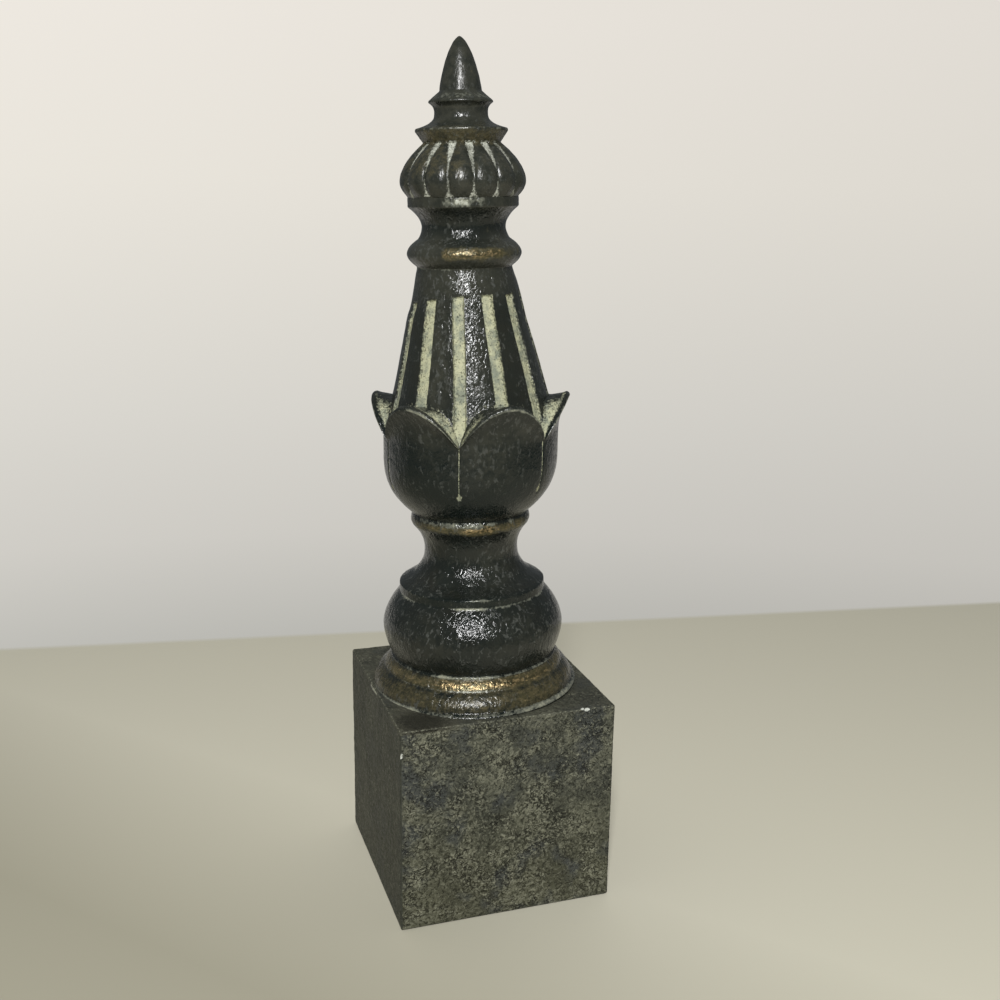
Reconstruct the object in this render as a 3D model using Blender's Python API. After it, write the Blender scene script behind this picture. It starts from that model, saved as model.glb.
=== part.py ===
# A turned and carved finial that stands on a square block. Metres, +Z up.
# The origin is the middle of the block's underside. The block's faces lie along X and Y.

import math

import bpy
import bmesh
from mathutils import Matrix, Vector

# Block. Its top is the base ring's width and a narrow margin all round.
BLOCK_MARGIN = 0.0028
BLOCK_HEIGHT = 0.086
BLOCK_EDGE_ROUND = 0.0008
BLOCK_EDGE_STEPS = 2

# Where the finial stands on the block. It was set a little off centre and out of true.
SEAT_GAP = 0.0003
SEAT_X = -0.0012
SEAT_Y = 0.0004
LEAN_ANGLE = math.radians(1.78)
LEAN_DIRECTION = math.radians(161.3)

# Base ring: an ovolo, then a sloping gilt bead
BASE_RADIUS = 0.0417
BASE_HEIGHT = 0.0082
BASE_TOP_RADIUS = 0.0372
BASE_ROUNDNESS = 2.5
BEAD_INSET = 0.0003
BEAD_STEP = 0.0006
BEAD_HEIGHT = 0.0050
BEAD_BULGE = 0.0002

# Bun: the big torus, widest a little below its middle
BUN_SEAT_RADIUS = 0.0336
BUN_RADIUS = 0.03725
BUN_HEIGHT = 0.0272
BUN_BELLY_HEIGHT = 0.0126
BUN_ROUNDNESS = 1.8

# Upright band on the bun, and the slope that leaves it
BAND_RADIUS = 0.0299
BAND_HEIGHT = 0.0034
BAND_EDGE = 0.0004
SHOULDER_HEIGHT = 0.0037
SHOULDER_TOP_RADIUS = 0.0238

# Waist: a tall hollow
WAIST_RADIUS = 0.01905
WAIST_LOW_HEIGHT = 0.0103
WAIST_HIGH_HEIGHT = 0.0111
WAIST_ROUNDNESS = 2.2

# Collar under the cup
COLLAR_FOOT_RADIUS = 0.0238
COLLAR_RADIUS = 0.02435
COLLAR_HEIGHT = 0.0049
COLLAR_BULGE = 0.0003

# Cup of petals
CUP_SEAT_RADIUS = 0.0235
CUP_RADIUS = 0.0351
CUP_SWELL_HEIGHT = 0.0232
CUP_ROUNDNESS = 2.45
CUP_WALL_HEIGHT = 0.0089
PETAL_COUNT = 6
PETAL_RISE = 0.0161
PETAL_FLARE = 0.0050
PETAL_CURL = 2.1
PETAL_LIP_WIDTH = 0.0030
PETAL_LIP_DROP = 0.0014
PETAL_SHAPE = 2.0

# Where the petals' tops slope in to the body. The notches between them narrow inwards.
ROOT_RISE = 0.0143
ROOT_SHAPE = 4.2

# Tapered body with flutes. One flute in two runs down into a notch between petals.
BODY_INSET = 0.00025
BODY_TOP_RADIUS = 0.0186
BODY_HEIGHT = 0.0645
FLUTE_COUNT = 12
FLUTE_ANGLE = math.radians(5.5)
FLUTE_DEPTH = 0.0011
FLUTE_TOP_WIDTH = 0.0044
FLUTE_FOOT_WIDTH = 0.0051
FLUTE_TOP_MARGIN = 0.0092
FLUTE_FOOT_MARGIN = 0.0015
FLUTE_WALL = 0.0004

# Upper torus, hollow neck and fillet
TORUS_SEAT_INSET = 0.0001
TORUS_RADIUS = 0.02225
TORUS_SEAT_GROOVE = 0.0009
TORUS_HEIGHT = 0.0105
TORUS_BELLY_HEIGHT = 0.0050
TORUS_TOP_RADIUS = 0.0177
TORUS_ROUNDNESS = 1.9
NECK_RADIUS = 0.0162
NECK_LOW_HEIGHT = 0.0045
NECK_HIGH_HEIGHT = 0.0075
NECK_ROUNDNESS = 1.9
FILLET_RADIUS = 0.0214
FILLET_HEIGHT = 0.0035
FILLET_EDGE = 0.0004

# Lobed bulb
BULB_SEAT_INSET = 0.0002
BULB_RADIUS = 0.0240
BULB_BELLY_HEIGHT = 0.0057
BULB_HEIGHT = 0.0200
BULB_TOP_RADIUS = 0.0148
BULB_ROUNDNESS = 1.85
LOBE_COUNT = 15
LOBE_ANGLE = math.radians(-0.8)
LOBE_GROOVE_DEPTH = 0.0011
LOBE_TOP_WEDGE = 0.30

# Wide collar, hollow and small collar
WIDE_COLLAR_RADIUS = 0.0177
WIDE_COLLAR_FLARE_HEIGHT = 0.0041
WIDE_COLLAR_RIM = 0.0009
RIM_BEVEL = 0.0002
HOLLOW_RADIUS = 0.01015
HOLLOW_LOW_HEIGHT = 0.0057
HOLLOW_HIGH_HEIGHT = 0.0037
HOLLOW_ROUNDNESS = 3.0
SMALL_COLLAR_RADIUS = 0.0123
SMALL_COLLAR_RIM = 0.0006
SMALL_COLLAR_SLOPE_HEIGHT = 0.0029

# Bud on top
BUD_SEAT_RADIUS = 0.0088
BUD_RADIUS = 0.0081
BUD_STEP = 0.0006
BUD_HEIGHT = 0.0196
BUD_TAPER = 1.35
BUD_BLUNTNESS = 0.6

# How finely the surfaces are cut
TURNED_SIDES = 40
COLUMNS_PER_PETAL = 20
COLUMNS_PER_LOBE = 8
FLUTE_BAND_COLUMNS = 5


def clear_scene():
    for obj in list(bpy.data.objects):
        bpy.data.objects.remove(obj)


def paint(name, color, roughness, metallic=0.0):
    material = bpy.data.materials.new(name)
    material.use_nodes = True
    shader = material.node_tree.nodes["Principled BSDF"]
    shader.inputs["Base Color"].default_value = (*color, 1.0)
    shader.inputs["Roughness"].default_value = roughness
    shader.inputs["Metallic"].default_value = metallic
    return material


def object_from(name, mesh_builder, material, sharp_angle):
    mesh = bpy.data.meshes.new(name)
    mesh_builder.to_mesh(mesh)
    mesh_builder.free()
    mesh.shade_smooth()
    mesh.set_sharp_from_angle(angle=sharp_angle)
    mesh.materials.append(material)
    obj = bpy.data.objects.new(name, mesh)
    bpy.context.scene.collection.objects.link(obj)
    return obj


def swell(start, belly, end, power, steps):
    """Outline points after start up to end. The radius leaves the belly's by a power of the height."""
    points = []
    for (radius, height), count in ((start, steps[0]), (end, steps[1])):
        side = []
        for step in range(count):
            share = 1 - step / count
            side.append(
                (
                    belly[0] + (radius - belly[0]) * share**power,
                    belly[1] + (height - belly[1]) * share,
                )
            )
        points.append(side)
    low, high = points
    return low[1:] + [belly] + high[::-1]


def turned(points):
    return [ring_of(radius, height) for radius, height in points]


def ring_of(radius, height, sides=TURNED_SIDES):
    """One level of the turning, as (angle, radius, height) all round, from the flutes' angle."""
    step = 2 * math.pi / sides
    return [(FLUTE_ANGLE + step * column, radius, height) for column in range(sides)]


def body_radius(height):
    """The radius of the tapered body, height being above the notches between the petals."""
    foot = CUP_RADIUS - BODY_INSET
    return foot + (BODY_TOP_RADIUS - foot) * height / BODY_HEIGHT


def petal_radius(height, arch):
    """The outside of a petal. Its edge curls outward at the sides too, though less than at the tip."""
    if height <= 0 or arch <= 0:
        return CUP_RADIUS
    share = height / (PETAL_RISE * arch)
    return CUP_RADIUS + PETAL_FLARE * math.sqrt(arch) * share**PETAL_CURL


def petal_place(angle):
    """How far an angle is from its petal's middle line: 0 on the line, 1 at the notches beside it."""
    pitch = 2 * math.pi / PETAL_COUNT
    return abs(2 * ((angle - FLUTE_ANGLE) / pitch % 1.0) - 1)


def petal_rings(notch_height):
    """The petals from below their notches, over the lip and on to its inner edge."""
    columns = COLUMNS_PER_PETAL * PETAL_COUNT
    step = 2 * math.pi / columns
    below = PETAL_LIP_WIDTH / 3
    rings = [[] for _ in range(6)]
    for column in range(columns):
        angle = FLUTE_ANGLE + step * column
        arch = 1 - petal_place(angle) ** PETAL_SHAPE
        top = PETAL_RISE * arch
        drop = PETAL_LIP_DROP * arch
        lip = petal_radius(top - drop, arch)
        width = min(PETAL_LIP_WIDTH, 0.6 * (lip - body_radius(top)))
        outside = [-below, 0.4 * (top + below) - below, 0.75 * (top + below) - below, top - drop]
        levels = [(petal_radius(height, arch), height) for height in outside]
        levels += [(lip - width / 2, top), (lip - width, top - drop / 4)]
        for ring, (radius, height) in zip(rings, levels):
            ring.append((angle, radius, notch_height + height))
    return rings


def flute_columns(width, radius):
    """Angles across one flute and the band beside it, each with whether it lies on the flute's floor."""
    pitch = 2 * math.pi / FLUTE_COUNT
    mouth = width / 2 / radius
    floor = mouth - FLUTE_WALL / radius
    band = (pitch - 2 * mouth) / (FLUTE_BAND_COLUMNS + 1)
    columns = [(0.0, True), (floor, True), (mouth, False)]
    columns += [(mouth + band * (index + 1), False) for index in range(FLUTE_BAND_COLUMNS)]
    return columns + [(pitch - mouth, False), (pitch - floor, True)]


def fluted_ring(notch_height, height, width, depth):
    """A level of the body. A flute has a flat floor and two short walls; the band between is round."""
    radius = body_radius(height)
    ring = []
    for flute in range(FLUTE_COUNT):
        for across, on_floor in flute_columns(width, radius):
            angle = FLUTE_ANGLE + 2 * math.pi * flute / FLUTE_COUNT + across
            ring.append((angle, radius - (depth if on_floor else 0.0), notch_height + height))
    return ring


def root_ring(notch_height):
    """Where the petals' tops meet the fluted body, low in the notches and high behind the petals."""
    ring = []
    for flute in range(FLUTE_COUNT):
        for across, on_floor in flute_columns(FLUTE_FOOT_WIDTH, CUP_RADIUS):
            angle = FLUTE_ANGLE + 2 * math.pi * flute / FLUTE_COUNT + across
            height = ROOT_RISE * (1 - petal_place(angle) ** ROOT_SHAPE)
            radius = body_radius(height) - (FLUTE_DEPTH if on_floor else 0.0)
            ring.append((angle, radius, notch_height + height))
    return ring


def body_rings(notch_height):
    flute_top = BODY_HEIGHT - FLUTE_TOP_MARGIN
    levels = [
        (ROOT_RISE + FLUTE_FOOT_MARGIN, FLUTE_FOOT_WIDTH, FLUTE_DEPTH),
        (flute_top - FLUTE_WALL, FLUTE_TOP_WIDTH, FLUTE_DEPTH),
        (flute_top, FLUTE_TOP_WIDTH, 0.0),
    ]
    rings = [root_ring(notch_height)]
    rings += [fluted_ring(notch_height, *level) for level in levels]
    rings += turned([(BODY_TOP_RADIUS, notch_height + BODY_HEIGHT)])
    return rings


def lobed_ring(radius, height, depth, wedge):
    """A level of the bulb: round lobes that meet in sharp grooves, as wide as wedge at their floor."""
    columns = COLUMNS_PER_LOBE * LOBE_COUNT
    step = 2 * math.pi / columns
    start = LOBE_ANGLE + step * round((FLUTE_ANGLE - LOBE_ANGLE) / step)
    ring = []
    for column in range(columns):
        angle = start + step * column
        place = ((angle - LOBE_ANGLE) / (step * COLUMNS_PER_LOBE)) % 1.0
        away = 1 - abs(2 * place - 1)
        rise = max(0.0, (away - wedge) / (1 - wedge))
        crown = math.sqrt(max(0.0, 1 - (1 - rise) ** 2))
        ring.append((angle, radius - depth * (1 - crown), height))
    return ring


def bulb_rings(seat):
    """The lobed bulb, which stands on the fillet at height seat."""
    belly = (BULB_RADIUS, seat + BULB_BELLY_HEIGHT)
    foot = (FILLET_RADIUS - BULB_SEAT_INSET, seat)
    top = (BULB_TOP_RADIUS, seat + BULB_HEIGHT)
    rings = []
    for radius, height in swell(foot, belly, top, BULB_ROUNDNESS, (3, 5)):
        share = (height - seat) / BULB_HEIGHT
        wedge = LOBE_TOP_WEDGE * max(0.0, share - 0.5) * 2
        rings.append(lobed_ring(radius, height, LOBE_GROOVE_DEPTH * min(1.0, 3 * share), wedge))
    return rings


def bud_points(seat):
    """An ogive: points above its seat, short of the tip."""
    points = [(BUD_SEAT_RADIUS, seat), (BUD_RADIUS, seat + BUD_STEP)]
    for share in (0.25, 0.5, 0.7, 0.85, 0.95, 0.988):
        radius = BUD_RADIUS * (1 - share**BUD_TAPER) ** BUD_BLUNTNESS
        points.append((radius, seat + share * BUD_HEIGHT))
    return points


def lower_turning():
    """Everything under the petals, as rings, and the height of the notches."""
    points = [(BASE_RADIUS, 0.0)]
    base_top = BASE_HEIGHT
    for share in (0.35, 0.6, 0.8, 1.0):
        radius = BASE_RADIUS + (BASE_TOP_RADIUS - BASE_RADIUS) * share**BASE_ROUNDNESS
        points.append((radius, base_top * share))
    bead_radius = BASE_TOP_RADIUS - BEAD_INSET
    points.append((bead_radius, base_top + BEAD_STEP))
    bun_seat = base_top + BEAD_HEIGHT
    middle = (bead_radius + BUN_SEAT_RADIUS) / 2
    points.append((middle + BEAD_BULGE, base_top + (BEAD_STEP + BEAD_HEIGHT) / 2))
    points.append((BUN_SEAT_RADIUS, bun_seat))

    band = bun_seat + BUN_HEIGHT
    belly = (BUN_RADIUS, bun_seat + BUN_BELLY_HEIGHT)
    points += swell(points[-1], belly, (BAND_RADIUS, band), BUN_ROUNDNESS, (3, 5))

    shoulder = band + BAND_HEIGHT
    points.append((BAND_RADIUS, shoulder - BAND_EDGE))
    points.append((BAND_RADIUS - BAND_EDGE, shoulder))
    waist = (WAIST_RADIUS, shoulder + SHOULDER_HEIGHT + WAIST_LOW_HEIGHT)
    points.append((SHOULDER_TOP_RADIUS, shoulder + SHOULDER_HEIGHT))
    collar = waist[1] + WAIST_HIGH_HEIGHT
    points += swell(points[-1], waist, (COLLAR_FOOT_RADIUS, collar), WAIST_ROUNDNESS, (3, 4))

    cup = collar + COLLAR_HEIGHT
    points.append((COLLAR_RADIUS, collar + 0.3 * COLLAR_HEIGHT))
    points.append((COLLAR_RADIUS - COLLAR_BULGE, collar + 0.65 * COLLAR_HEIGHT))
    points.append((CUP_SEAT_RADIUS, cup))
    for share in (0.85, 0.68, 0.48, 0.25, 0.0):
        radius = CUP_RADIUS - (CUP_RADIUS - CUP_SEAT_RADIUS) * share**CUP_ROUNDNESS
        points.append((radius, cup + CUP_SWELL_HEIGHT * (1 - share)))
    return turned(points), cup + CUP_SWELL_HEIGHT + CUP_WALL_HEIGHT


def upper_turning(body_top):
    """Everything above the body, as rings, and the height of the tip."""
    torus_seat = (BODY_TOP_RADIUS - TORUS_SEAT_INSET, body_top + TORUS_SEAT_GROOVE)
    torus_top = (TORUS_TOP_RADIUS, torus_seat[1] + TORUS_HEIGHT)
    belly = (TORUS_RADIUS, torus_seat[1] + TORUS_BELLY_HEIGHT)
    rings = turned([torus_seat] + swell(torus_seat, belly, torus_top, TORUS_ROUNDNESS, (3, 4)))

    neck = (NECK_RADIUS, torus_top[1] + NECK_LOW_HEIGHT)
    fillet = neck[1] + NECK_HIGH_HEIGHT
    foot = (FILLET_RADIUS - FILLET_EDGE, fillet)
    rings += turned(swell(torus_top, neck, foot, NECK_ROUNDNESS, (2, 4)))
    bulb = fillet + FILLET_HEIGHT
    rings += turned([(FILLET_RADIUS, fillet + FILLET_EDGE), (FILLET_RADIUS, bulb - FILLET_EDGE)])
    rings += turned([(FILLET_RADIUS - BULB_SEAT_INSET, bulb)])
    rings += bulb_rings(bulb)

    rim = bulb + BULB_HEIGHT + WIDE_COLLAR_FLARE_HEIGHT
    points = [(WIDE_COLLAR_RADIUS, rim), (WIDE_COLLAR_RADIUS - RIM_BEVEL, rim + WIDE_COLLAR_RIM)]
    hollow = (HOLLOW_RADIUS, points[-1][1] + HOLLOW_LOW_HEIGHT)
    small = (SMALL_COLLAR_RADIUS, hollow[1] + HOLLOW_HIGH_HEIGHT)
    points += swell(points[-1], hollow, small, HOLLOW_ROUNDNESS, (4, 2))
    bud = small[1] + SMALL_COLLAR_RIM + SMALL_COLLAR_SLOPE_HEIGHT
    points.append((SMALL_COLLAR_RADIUS - RIM_BEVEL / 2, small[1] + SMALL_COLLAR_RIM))
    points += bud_points(bud)
    rings += turned(points)
    return rings, bud + BUD_HEIGHT


def bridge(builder, low, high):
    """Faces between two rings, which may differ in their number of columns."""
    at_low = at_high = 0
    while at_low < len(low) or at_high < len(high):
        next_low = (at_low + 1) / len(low)
        next_high = (at_high + 1) / len(high)
        here = (low[at_low % len(low)], high[at_high % len(high)])
        ahead = (low[(at_low + 1) % len(low)], high[(at_high + 1) % len(high)])
        if abs(next_low - next_high) < 1e-9:
            builder.faces.new((here[0], ahead[0], ahead[1], here[1]))
            at_low += 1
            at_high += 1
        elif next_low < next_high:
            builder.faces.new((here[0], ahead[0], here[1]))
            at_low += 1
        else:
            builder.faces.new((here[0], ahead[1], here[1]))
            at_high += 1


def place_on_block():
    """The matrix from the finial's own upright frame to where it stands."""
    direction = Vector((math.cos(LEAN_DIRECTION), math.sin(LEAN_DIRECTION), 0.0))
    axis = Vector((0.0, 0.0, 1.0)).cross(direction)
    seat = Matrix.Translation((SEAT_X, SEAT_Y, BLOCK_HEIGHT + SEAT_GAP))
    return seat @ Matrix.Rotation(LEAN_ANGLE, 4, axis)


def make_block(material):
    builder = bmesh.new()
    bmesh.ops.create_cube(builder, size=1.0)
    width = 2 * (BASE_RADIUS + BLOCK_MARGIN)
    scale = (width, width, BLOCK_HEIGHT)
    bmesh.ops.scale(builder, vec=scale, verts=builder.verts)
    bmesh.ops.translate(builder, vec=(0, 0, BLOCK_HEIGHT / 2), verts=builder.verts)
    bmesh.ops.bevel(
        builder,
        geom=builder.edges[:],
        offset=BLOCK_EDGE_ROUND,
        segments=BLOCK_EDGE_STEPS,
        profile=0.5,
        affect="EDGES",
    )
    return object_from("plinth_block", builder, material, math.radians(50))


def make_finial(material):
    lower, notch_height = lower_turning()
    upper, tip_height = upper_turning(notch_height + BODY_HEIGHT)
    rings = lower + petal_rings(notch_height) + body_rings(notch_height) + upper
    stand = place_on_block()
    builder = bmesh.new()
    rows = []
    for ring in rings:
        row = []
        for angle, radius, height in ring:
            local = Vector((radius * math.cos(angle), radius * math.sin(angle), height))
            row.append(builder.verts.new(stand @ local))
        rows.append(row)
    # The foot is bedded flat on the block, however the rest leans.
    for vertex in rows[0]:
        vertex.co.z = BLOCK_HEIGHT + SEAT_GAP
    builder.faces.new(rows[0][::-1])
    for low, high in zip(rows, rows[1:]):
        bridge(builder, low, high)
    tip = builder.verts.new(stand @ Vector((0.0, 0.0, tip_height)))
    for first, second in zip(rows[-1], rows[-1][1:] + rows[-1][:1]):
        builder.faces.new((first, second, tip))
    return object_from("turned_finial", builder, material, math.radians(38))


def main():
    clear_scene()
    make_block(paint("crackled_green_black", (0.085, 0.090, 0.075), 0.55))
    make_finial(paint("varnished_charcoal", (0.028, 0.030, 0.026), 0.38))


main()
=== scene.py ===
# Looks of a turned and carved finial on its square block.
# The dictionaries hold millimetres and degrees unless a note says otherwise.
from functools import partial
from math import cos, degrees, pi, radians, sin

import bmesh
import bpy
import numpy as np
from mathutils import Matrix, Vector


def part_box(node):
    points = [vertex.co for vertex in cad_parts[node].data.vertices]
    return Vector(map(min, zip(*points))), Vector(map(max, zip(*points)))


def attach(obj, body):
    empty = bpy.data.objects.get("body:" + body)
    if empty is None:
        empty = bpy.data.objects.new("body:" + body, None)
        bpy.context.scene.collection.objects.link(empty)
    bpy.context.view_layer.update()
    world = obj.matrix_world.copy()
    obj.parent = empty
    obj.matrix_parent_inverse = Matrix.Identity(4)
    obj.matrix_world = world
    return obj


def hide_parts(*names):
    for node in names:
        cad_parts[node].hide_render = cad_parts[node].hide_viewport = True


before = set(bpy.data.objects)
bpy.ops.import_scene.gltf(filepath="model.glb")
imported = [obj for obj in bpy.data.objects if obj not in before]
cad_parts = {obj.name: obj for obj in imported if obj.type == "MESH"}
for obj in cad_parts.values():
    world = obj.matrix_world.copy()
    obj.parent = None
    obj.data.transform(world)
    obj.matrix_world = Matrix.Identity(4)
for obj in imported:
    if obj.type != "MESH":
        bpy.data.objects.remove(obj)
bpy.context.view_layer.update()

mm = 0.001
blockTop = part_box("plinth_block")[1].z / mm
scene = bpy.context.scene


# A dictionary whose sizes can be read by name
class Sizes(dict):
    __getattr__ = dict.__getitem__


# Helpers for node trees, for shaders and for geometry alike
def feed(tree, node, links):
    for key, value in links.items():
        if isinstance(value, bpy.types.NodeSocket):
            tree.links.new(value, node.inputs[key])
        else:
            node.inputs[key].default_value = value
    return node


def add(tree, kind, links=(), output=0, **settings):
    # Kinds are named without their family
    family = "GeometryNode" if hasattr(bpy.types, "GeometryNode" + kind) else "ShaderNode"
    made = tree.nodes.new(family + kind)
    for name, value in settings.items():
        setattr(made, name, value)
    return feed(tree, made, dict(links)).outputs[output]


def calc(tree, operation, first, second=0.0, clamp=False):
    links = {0: first, 1: second}
    return add(tree, "Math", links, operation=operation, use_clamp=clamp)


def times(tree, *values):
    product = values[0]
    for value in values[1:]:
        product = calc(tree, "MULTIPLY", product, value)
    return product


def plus(tree, total, *parts):
    # Adds parts to a value, each with its weight
    for part, weight in parts:
        total = calc(tree, "ADD", total, times(tree, part, weight))
    return total


def vectorCalc(tree, operation, first, second=(0.0, 0.0, 0.0)):
    # The number that a vector is scaled by goes to the fourth socket
    links = {0: first, 3 if operation == "SCALE" else 1: second}
    output = "Value" if operation in ("DOT_PRODUCT", "LENGTH") else "Vector"
    return add(tree, "VectorMath", links, output, operation=operation)


def geometryTree(name, inputs):
    tree = bpy.data.node_groups.new(name, "GeometryNodeTree")
    for label, kind in ({"Geometry": "Geometry"} | inputs).items():
        tree.interface.new_socket(label, in_out="INPUT", socket_type="NodeSocket" + kind)
    tree.interface.new_socket("Geometry", in_out="OUTPUT", socket_type="NodeSocketGeometry")
    return tree, tree.nodes.new("NodeGroupInput").outputs, tree.nodes.new("NodeGroupOutput").inputs


def finishTree(tree, given, result, mesh):
    painted = add(tree, "SetMaterial", {"Geometry": mesh, "Material": given["Finish"]})
    tree.links.new(painted, result["Geometry"])
    return tree


def runTree(obj, tree, values):
    modifier = obj.modifiers.new(tree.name, "NODES")
    modifier.node_group = tree
    for item in tree.interface.items_tree:
        if item.in_out == "INPUT" and item.name in values:
            modifier[item.identifier] = values[item.name]
    depsgraph = bpy.context.evaluated_depsgraph_get()
    done = obj.evaluated_get(depsgraph)
    mesh = bpy.data.meshes.new_from_object(done, preserve_all_data_layers=True, depsgraph=depsgraph)
    obj.modifiers.remove(modifier)
    obj.data = mesh


# Sector meshes go round the finial's axis: copies of one sector, welded where they meet
def makeRoundTree():
    inputs = {"Copies": "Int", "Weld": "Float", "Finish": "Material"}
    tree, given, result = geometryTree("aroundTheAxis", inputs)
    places = add(tree, "Points", {"Count": given["Copies"]})
    share = calc(tree, "DIVIDE", add(tree, "InputIndex"), given["Copies"])
    turn = add(tree, "CombineXYZ", {"Z": times(tree, share, 2 * pi)})
    links = {"Points": places, "Instance": given["Geometry"], "Rotation": turn}
    copies = add(tree, "InstanceOnPoints", links)
    solid = add(tree, "RealizeInstances", {"Geometry": copies})
    links = {"Geometry": solid, "Distance": given["Weld"]}
    welded = add(tree, "MergeByDistance", links)
    return finishTree(tree, given, result, welded)


# The unevenness of hand work, pushed along the surface's normals where the mark "hand" allows it
def makeHandTree():
    details = {"Sway": 1.0, "Lump": 1.5, "Ripple": 2.0}
    inputs = {label + end: "Float" for label in details for end in ("", " Size")}
    inputs |= {"Start": "Vector", "Finish": "Material"}
    tree, given, result = geometryTree("handWork", inputs)
    place = vectorCalc(tree, "ADD", add(tree, "InputPosition"), given["Start"])
    push = 0.0
    for label, detail in details.items():
        scale = calc(tree, "DIVIDE", 1.0, given[label + " Size"])
        cloud = add(tree, "TexNoise", {"Vector": place, "Scale": scale, "Detail": detail})
        centred = calc(tree, "SUBTRACT", cloud, 0.5)
        push = plus(tree, push, (centred, times(tree, given[label], 2.0)))
    hand = add(tree, "InputNamedAttribute", {"Name": "hand"}, data_type="FLOAT")
    normal = add(tree, "InputNormal")
    offset = vectorCalc(tree, "SCALE", normal, times(tree, push, hand))
    moved = add(tree, "SetPosition", {"Geometry": given["Geometry"], "Offset": offset})
    return finishTree(tree, given, result, moved)


roundTree = makeRoundTree()
handTree = makeHandTree()


def roughen(obj, layers, start, finish):
    values = {"Start": start, "Finish": finish}
    for label, (push, size) in layers.items():
        values |= {label: push * mm, label + " Size": size * mm}
    runTree(obj, handTree, values)


# Materials
finishColors = Sizes(
    varnish=(0.0105, 0.0128, 0.0108),
    varnishBrown=(0.013, 0.0142, 0.0108),
    varnishGreen=(0.0125, 0.016, 0.0138),
    varnishDull=(0.037, 0.038, 0.029),
    varnishDeep=(0.0048, 0.0086, 0.0078),
    brushed=(0.076, 0.08, 0.072),
    wash=(0.47, 0.47, 0.31),
    washGrey=(0.23, 0.25, 0.19),
    washChalk=(0.48, 0.49, 0.42),
    chalkGrey=(0.17, 0.175, 0.14),
    washDirt=(0.035, 0.037, 0.024),
    giltDark=(0.06, 0.054, 0.026),
    giltWarm=(0.145, 0.118, 0.06),
    giltBright=(0.35, 0.26, 0.13),
    worn=(0.3, 0.3, 0.225),
    wornDull=(0.12, 0.125, 0.1),
)

blockColors = Sizes(
    stroke=(0.258, 0.258, 0.19),
    middle=(0.088, 0.09, 0.066),
    dark=(0.052, 0.055, 0.044),
    blue=(0.058, 0.063, 0.06),
    olive=(0.082, 0.08, 0.044),
    crack=(0.007, 0.007, 0.006),
    still=(0.028, 0.031, 0.0235),
    brown=(0.082, 0.08, 0.058),
    brownDark=(0.027, 0.0265, 0.0195),
    chip=(0.6, 0.62, 0.56),
)

# Clouds of noise: size, detail, roughness, and how far each is moved, in metres
varnishClouds = {
    "speck": (1.0, 3.0, 0.65, (0.1, 0.3, 0.2)),
    "gaps": (3.2, 2.0, 0.6, (0.0, 0.2, 0.6)),
    "patch": (8.0, 3.0, 0.55, (0.0, 0.0, 0.0)),
    "broad": (17.0, 3.0, 0.6, (0.2, 0.1, 0.4)),
    "blotch": (4.5, 5.0, 0.68, (0.4, 0.0, 0.1)),
    "dirtAndShade": (0.6, 2.0, 0.7, (0.0, 0.0, 0.0)),
}
paintClouds = {
    "broad": (15.0, 4.0, 0.62, (0.0, 0.0, 0.0)),
    "choice": (4.5, 2.0, 0.5, (0.0, 0.0, 0.0)),
    "blue": (19.0, 3.0, 0.55, (0.3, 0.2, 0.1)),
    "patches": (14.0, 4.0, 0.6, (0.0, 0.5, 0.2)),
    "parted": (3.4, 3.0, 0.6, (0.6, 0.1, 0.3)),
    "ragged": (1.3, 3.0, 0.65, (0.0, 0.0, 0.0)),
}
# The strokes of the paint: turned this way, or that way, or lying
strokeTurns = ((38, 48, 0), (-42, -52, 0), (80, 86, 0))


def newMaterial(name, roughness):
    material = bpy.data.materials.new(name)
    material.use_nodes = True
    tree = material.node_tree
    shader = tree.nodes["Principled BSDF"]
    shader.inputs["Roughness"].default_value = roughness
    return material, tree, shader, add(tree, "TexCoord", output="Object")


def cloudOf(tree, place, size, detail=2.0, roughness=0.5, distortion=0.0):
    links = {"Vector": place, "Scale": 1 / (size * mm), "Detail": detail}
    links |= {"Roughness": roughness, "Distortion": distortion}
    return add(tree, "TexNoise", links)


def cloudsOf(tree, place, table):
    rows = table.values()
    return [cloudOf(tree, vectorCalc(tree, "ADD", place, shift), *sizes) for *sizes, shift in rows]


def stretchedBy(tree, place, turn, length):
    # Draws a pattern out along the z axis of a turned frame
    turn = tuple(radians(angle) for angle in turn)
    links = {"Vector": place, "Rotation": turn, "Scale": (1.0, 1.0, length)}
    return add(tree, "Mapping", links, vector_type="TEXTURE")


def remap(tree, value, low, high, toLow=0.0, toHigh=1.0):
    links = {"Value": value, "From Min": low, "From Max": high, "To Min": toLow, "To Max": toHigh}
    return add(tree, "MapRange", links, clamp=True)


def blendColor(tree, share, *colors):
    first, second = (c if isinstance(c, bpy.types.NodeSocket) else (*c, 1.0) for c in colors)
    return add(tree, "Mix", {0: share, 6: first, 7: second}, 2, data_type="RGBA")


def coated(tree, base, *coats):
    # Lays coats over a colour, each with its share
    for share, color in coats:
        base = blendColor(tree, share, base, color)
    return base


def blendValue(tree, share, first, second):
    return add(tree, "Mix", {0: share, 2: first, 3: second})


def markOf(tree, name):
    return add(tree, "Attribute", output="Fac", attribute_name=name)


def roundTheAxis(tree, place, tight):
    # Stretches a pattern along the rings: near the axis a point moves little as it goes round
    flat, upright = (vectorCalc(tree, "MULTIPLY", place, part) for part in ((1, 1, 0), (0, 0, 1)))
    ring = vectorCalc(tree, "SCALE", vectorCalc(tree, "NORMALIZE", flat), tight * mm)
    return vectorCalc(tree, "ADD", ring, upright)


def helpersFor(tree):
    return [partial(helper, tree) for helper in (remap, markOf, coated, times, plus)]


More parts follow.
